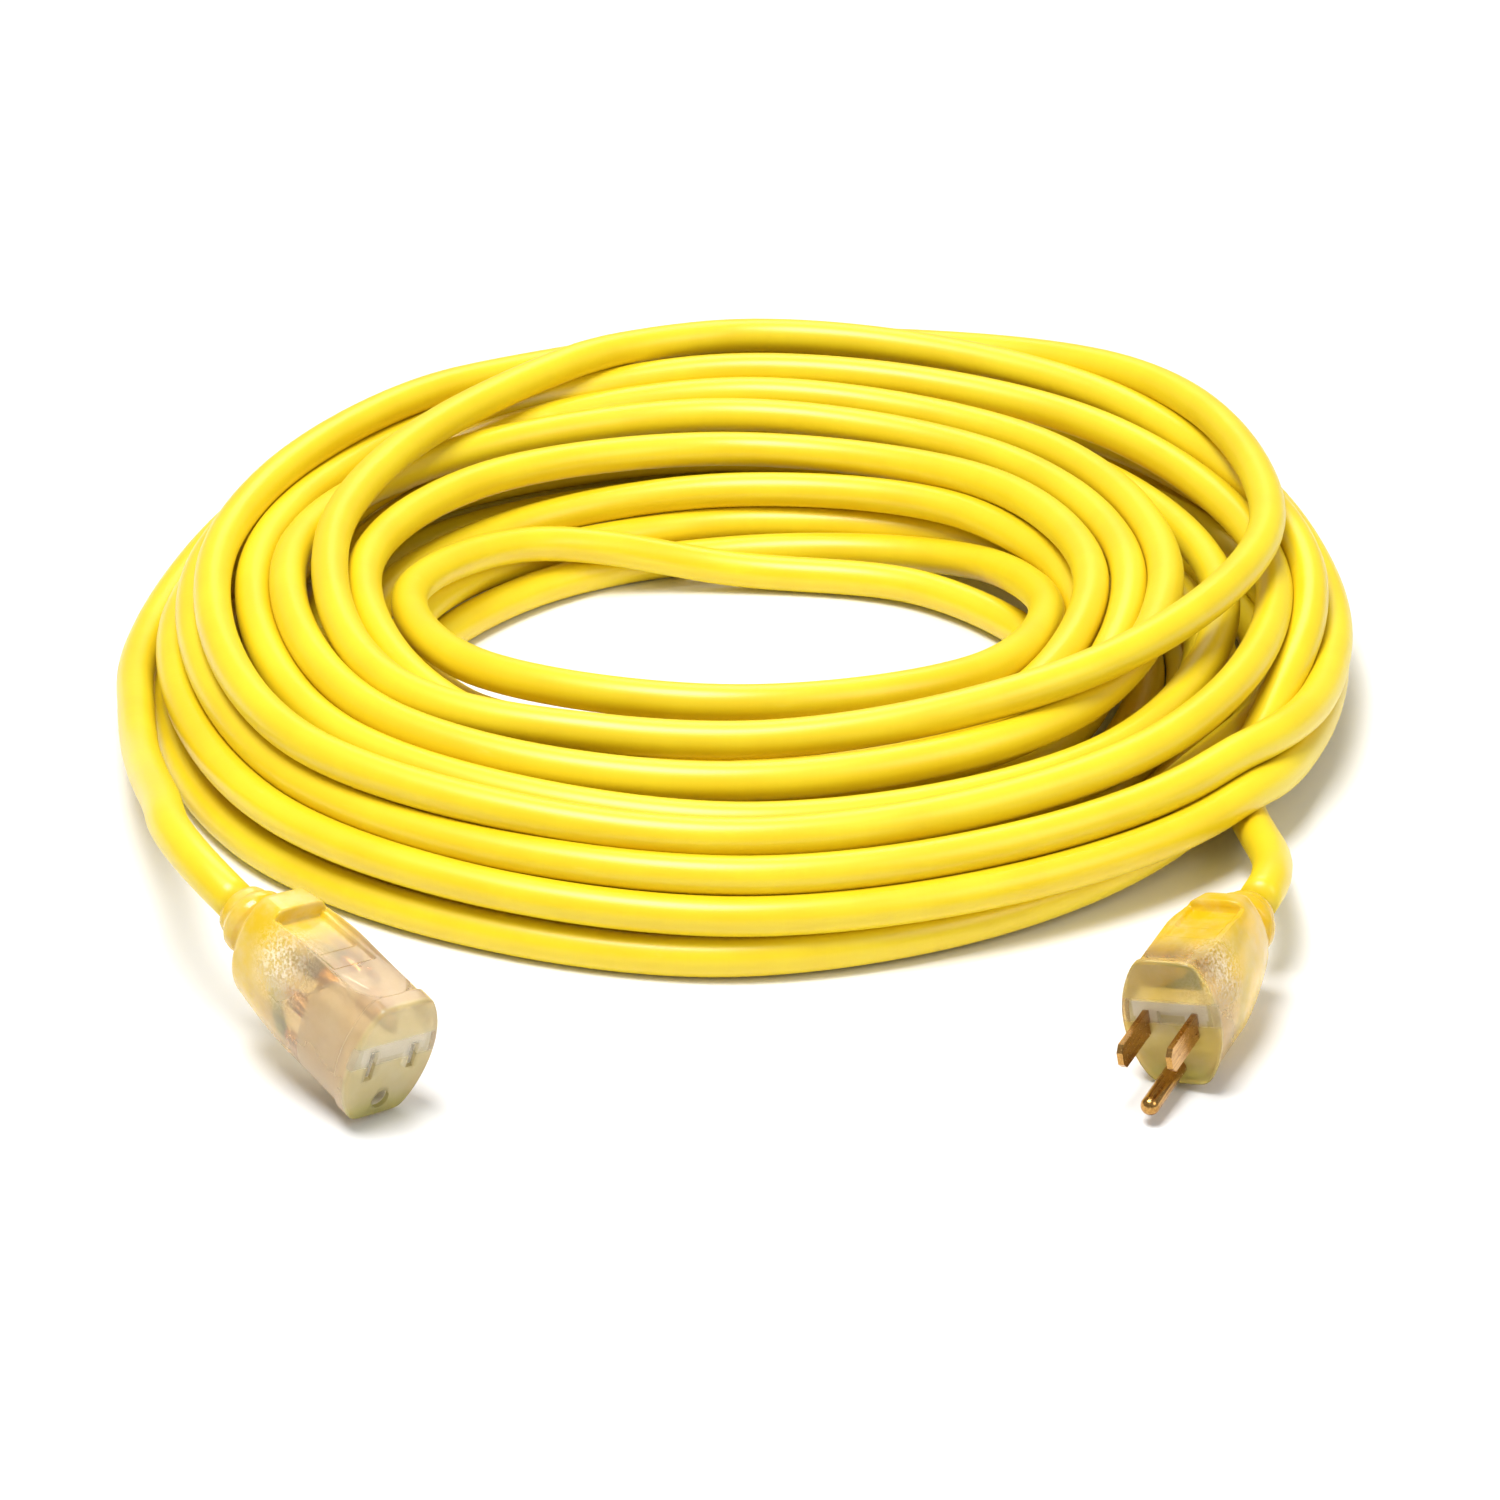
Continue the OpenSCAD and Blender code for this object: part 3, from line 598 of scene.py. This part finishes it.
def clear_finish(name, end, patch, haze, face, front, back, yellow_from):
    """Milky clear vinyl: the jacket's yellow grows in it towards the collar, with a frosted worn patch.

    Haze is the share of milk in the clear part; the moulded face is milkier still.

    The colour runs from the face's tone in the first 2 mm to the front's, and to the back's between
    two shares of the length. The low edges of the face are greener, where light gathers in them, and
    a paler, clearer window crosses it at the blades or slots, where the block behind lies close.
    """
    finish = Finish(name, front, transmission_weight=0.95, ior=1.4, specular_ior_level=0.5)
    vector = finish.in_end(end)
    x, _, z = finish.axes(vector)
    cloud = finish.noise(vector, 120, 4)
    wander = finish.noise(finish.stretched(vector, (40, 120, 120)), 1.0, 3)
    frost = near(finish, vector, patch, 0.0075, 0.0065)
    speckle = finish.ranged(finish.noise(vector, 1300, 3, 0.7), 0.42, 0.6)
    length = MM * end["len"]
    start, full = (share * length for share in yellow_from)
    behind = finish.ranged(0.0 - x + 0.014 * (wander - 0.5), start, full)
    on_face = finish.ranged(x, -0.002, -0.0008)
    low = finish.ranged(z, -0.009, -0.0165)
    tone = finish.mixed(behind, front, back)
    tone = finish.mixed(on_face, tone, face)
    tone = finish.mixed(finish.ranged(cloud, 0.35, 0.75) * 0.3, tone, (0.93, 0.84, 0.62))
    tone = finish.mixed(low * on_face * 0.6, tone, (0.62, 0.64, 0.08))
    window = finish.ranged(z, -0.0005, 0.0012) * finish.ranged(z, 0.0068, 0.0056)
    tone = finish.mixed(window * on_face * 0.75, tone, (0.97, 0.93, 0.84))
    tone = finish.mixed(frost * speckle * 0.75, tone, (0.94, 0.84, 0.70))
    finish.feed("Base Color", tone)
    finish.feed("Roughness", 0.12 + cloud * 0.12 + frost * 0.25)
    ripple = finish.noise(finish.stretched(vector, (60, 220, 220)), 1.0, 3)
    finish.bumped((speckle - 0.5) * frost * 0.5 + ripple * 0.5, 0.0002, 0.45)
    on_edge = on_face * (0.08 - 0.24 * window)
    finish.milky(haze + on_edge + behind * 0.5 + frost * speckle * 0.4 + cloud * 0.08)
    return finish.material


def insert_finish(name, end, pale, dull, bar):
    """Moulded plastic with faint flow lines: pale round the blades or slots, duller elsewhere.

    The pale parts form an H: a cross bar between two heights (metres, in the end's own frame), and
    an upright round each of the two blades or slots.
    """
    finish = Finish(name, pale, specular_ior_level=0.4)
    vector = finish.in_end(end)
    _, y, z = finish.axes(vector)
    cloud = finish.noise(vector, 160, 4)
    flow = finish.noise(finish.stretched(vector, (140, 700, 140)), 1.0, 2)
    soft = 0.0003
    beside = abs(y)
    off_blade = abs(beside - MM * HALF_GAP)
    under = finish.ranged(z, bar[1] - soft, bar[1] + soft, 1.0, 0.0)
    across = finish.ranged(beside, 0.0095, 0.0101, 1.0, 0.0)
    cross = finish.ranged(z, bar[0] - soft, bar[0] + soft) * across
    upright = finish.ranged(off_blade, 0.0026, 0.0032, 1.0, 0.0) * finish.ranged(z, -0.0075, -0.0068)
    shape = cross.or_more(upright) * under
    tone = finish.mixed(shape, dull, pale)
    tone = finish.mixed(finish.ranged(cloud, 0.3, 0.7) * 0.25, tone, (0.80, 0.70, 0.52))
    finish.feed("Base Color", tone)
    finish.feed("Roughness", 0.4 + flow * 0.2)
    finish.bumped(flow + cloud * 0.5, 0.0001, 0.5)
    return finish.material


def brass_finish(name, end, bright, dull):
    """Drawn brass: lengthwise streaks, a few scratches, tarnish towards the root."""
    finish = Finish(name, bright, metallic=1.0)
    vector = finish.in_end(end)
    x = finish.axes(vector)[0]
    streaks = finish.noise(finish.stretched(vector, (120, 2600, 2600)), 1.0, 4, 0.6)
    spots = finish.ranged(finish.noise(vector, 900, 4, 0.65), 0.55, 0.75)
    root = finish.ranged(x, 0.009, 0.0, 0.0, 1.0)
    tone = finish.mixed(finish.ranged(streaks, 0.35, 0.65), bright, dull)
    tone = finish.mixed(root * 0.35 + spots * 0.3, tone, (0.34, 0.17, 0.06))
    finish.feed("Base Color", tone)
    finish.feed("Roughness", 0.15 + streaks * 0.16 + spots * 0.15)
    finish.bumped(streaks + spots * 0.3, 0.00008, 0.4)
    return finish.material


def copper_finish():
    """Bare copper strands: fine twisted lines, with painted shade darkening the gaps between them."""
    finish = Finish("copper_strands", (0.72, 0.34, 0.14), metallic=1.0)
    bands = {"wave_type": "BANDS", "bands_direction": "DIAGONAL"}
    inputs = {"Vector": finish.place(), "Scale": 900.0, "Distortion": 1.5, "Detail": 1.0}
    strand_relief_and_shade = finish.node("ShaderNodeTexWave", bands, inputs)
    cloud = finish.noise(finish.place(), 500, 3)
    share = strand_relief_and_shade * 0.7 + cloud * 0.3
    # painted shade: the dark tone lies in the valleys between the strands, the light tone on their
    # crowns
    finish.feed("Base Color", finish.mixed(share, (0.38, 0.15, 0.05), (0.85, 0.45, 0.2)))
    finish.feed("Roughness", 0.3 + cloud * 0.25)
    finish.bumped(strand_relief_and_shade, 0.0002, 0.6)
    return finish.material


def plain_finish(name, dark, light, rough, scale, metallic=0.0, gloss=0.5):
    """A moulded or drawn surface: two close tones in a fine cloud, uneven gloss, a light grain."""
    finish = Finish(name, light, metallic=metallic, specular_ior_level=gloss)
    cloud = finish.noise(finish.place(), scale, 4)
    grain = finish.noise(finish.place(), scale * 9, 2)
    finish.feed("Base Color", finish.mixed(finish.ranged(cloud, 0.3, 0.7), dark, light))
    finish.feed("Roughness", rough + cloud * 0.15)
    finish.bumped(grain, 0.00008, 0.4)
    return finish.material


def resistor_finish():
    """Tan body with colour bands across its length."""
    finish = Finish("resistor_body", (0.66, 0.47, 0.26))
    vector = finish.in_end(CONNECTOR)
    x = finish.axes(vector)[0]
    tone = finish.mixed(finish.noise(vector, 900, 3), (0.60, 0.42, 0.22), (0.72, 0.54, 0.32))
    bands = [(-0.0172, (0.35, 0.1, 0.04)), (-0.0184, (0.05, 0.05, 0.05)), (-0.0196, (0.8, 0.3, 0.03))]
    for at, color in bands:
        tone = finish.mixed(finish.ranged(abs(x - at), 0.0003, 0.0004, 1.0, 0.0), tone, color)
    finish.feed("Base Color", tone)
    finish.feed("Roughness", 0.35 + finish.noise(vector, 400, 2) * 0.1)
    return finish.material


def lamp_finish():
    """Small clear lamp with an orange glow inside it."""
    glass = dict(transmission_weight=0.6, roughness=0.08, ior=1.45)
    finish = Finish("lamp_glass", (0.96, 0.78, 0.55), **glass)
    cloud = finish.noise(finish.place(), 700, 3)
    finish.feed("Base Color", finish.mixed(cloud, (0.95, 0.68, 0.42), (0.98, 0.86, 0.66)))
    finish.bumped(cloud, 0.00005, 0.3)
    return finish.material


jacket = jacket_finish("jacket_vinyl", True)
jacket_inside = jacket_finish("jacket_vinyl_inside", False)
plug_clear = clear_finish("clear_vinyl_plug", PLUG, (-0.010, 0.0105, 0.009), 0.14,
                          (0.86, 0.67, 0.17), (0.92, 0.58, 0.13), (0.96, 0.62, 0.008), (0.06, 0.5))
connector_clear = clear_finish("clear_vinyl_connector", CONNECTOR, (-0.033, -0.0105, 0.007), 0.2,
                               (0.82, 0.70, 0.36), (0.92, 0.68, 0.40), (0.95, 0.64, 0.02), (0.42, 0.85))
bridge_plastic = insert_finish("bridge_plastic", PLUG, (0.97, 0.94, 0.88), (0.72, 0.64, 0.32),
                               (0.0012, 0.0056))
insert_plastic = insert_finish("insert_plastic", CONNECTOR, (0.95, 0.90, 0.80), (0.80, 0.74, 0.56),
                               (0.0012, 0.006))
blade_brass = brass_finish("blade_brass", PLUG, (0.60, 0.34, 0.10), (0.38, 0.19, 0.05))
contact_brass = brass_finish("contact_brass", CONNECTOR, (0.80, 0.55, 0.26), (0.62, 0.38, 0.15))
copper = copper_finish()

# The finish of each of the record's material slots
FINISH_OF = {
    "black_insulation": plain_finish("black_insulation", (0.012, 0.012, 0.013), (0.03, 0.03, 0.032),
                                     0.3, 300),
    "white_insulation": plain_finish("white_insulation", (0.74, 0.74, 0.70), (0.86, 0.86, 0.83),
                                     0.3, 300),
    "green_insulation": plain_finish("green_insulation", (0.02, 0.2, 0.07), (0.04, 0.32, 0.12),
                                     0.3, 300),
    "filler": plain_finish("paper_filler", (0.6, 0.5, 0.34), (0.8, 0.72, 0.56), 0.75, 500),
    "lead_tin": plain_finish("tinned_lead", (0.6, 0.6, 0.62), (0.8, 0.8, 0.82), 0.2, 700, 1.0),
    "resistor": resistor_finish(),
    "lamp": lamp_finish(),
    "mould_insert": insert_plastic,
    "blade_brass": blade_brass,
    "contact_brass": contact_brass,
    "copper_strands": copper,
    "jacket": jacket_inside,
}

# ---------------------------------------------------------------- the cord
line = cord_line()
cord = tube("cord", line * MM, CORD_R * MM, 20, jacket)
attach(cord, "root")
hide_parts("cord_coil", "cord_to_plug", "cord_to_connector")

# ---------------------------------------------------------------- the two clear ends
plug_body = end_body("plug_body", PLUG, plug_clear)
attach(plug_body, "root")
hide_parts("plug_housing")

connector_body = end_body("connector_body", CONNECTOR, connector_clear)
cut_out(connector_body, [
    prism(name, outline, -SOCKET_DEPTH, 1, CONNECTOR) for name, outline in (
        ("line_slot", rectangle(HALF_GAP, SLOT_HALF_THICK, LINE_SLOT_HALF)),
        ("neutral_slot", rectangle(-HALF_GAP, SLOT_HALF_THICK, NEUTRAL_SLOT_HALF)),
        ("ground_hole", circle(-PIN_DROP, SOCKET_R + 0.1)),
    )
])
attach(connector_body, "root")
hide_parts("connector_housing")

# ---------------------------------------------------------------- finishes of the CAD's own solids
slot_of = {part["node"]: part["material_slot"] for part in frame["record"]["subparts"]}
hidden = {"cord_coil", "cord_to_plug", "cord_to_connector", "plug_housing", "connector_housing"}
for node, node_slot in slot_of.items():
    if node in hidden:
        continue
    solid = bpy.data.objects[node]
    solid.data.materials.clear()
    solid.data.materials.append(bridge_plastic if node == "plug_bridge" else FINISH_OF[node_slot])

on_plug = [n for n in slot_of if n.startswith("plug_") and n != "plug_housing"]
[plug_body] + on_plug + ["line_blade", "neutral_blade", "ground_pin"]

# ---------------------------------------------------------------- floor and light
floor_finish = Finish("floor_paper", (0.9, 0.9, 0.9), roughness=0.9)
floor_mesh = bpy.data.meshes.new("floor")
floor_mesh.from_pydata([(-3, -3, 0), (3, -3, 0), (3, 3, 0), (-3, 3, 0)], [], [(0, 1, 2, 3)])
floor_mesh.materials.append(floor_finish.material)
floor = bpy.data.objects.new("floor", floor_mesh)
bpy.context.scene.collection.objects.link(floor)

world = bpy.data.worlds.new("studio")
world.use_nodes = True
background = world.node_tree.nodes["Background"]
background.inputs["Color"].default_value = (1, 1, 1, 1)
background.inputs["Strength"].default_value = 0.34
bpy.context.scene.world = world
bpy.context.scene.view_settings.view_transform = "Standard"


def soft_box(name, place, aim, size, power):
    """A square area light at a place, turned to an aim point."""
    data = bpy.data.lights.new(name, "AREA")
    data.size = size
    data.energy = power
    light = bpy.data.objects.new(name, data)
    light.location = place
    light.rotation_euler = (Vector(aim) - Vector(place)).to_track_quat("-Z", "Y").to_euler()
    bpy.context.scene.collection.objects.link(light)


soft_box("key", (-0.25, -0.35, 1.5), (0, 0, 0), 0.7, 26)
soft_box("fill", (1.1, -0.7, 0.9), (0, 0, 0), 0.8, 5)
soft_box("back", (0.1, 1.1, 1.3), (0, 0, 0), 0.8, 7)
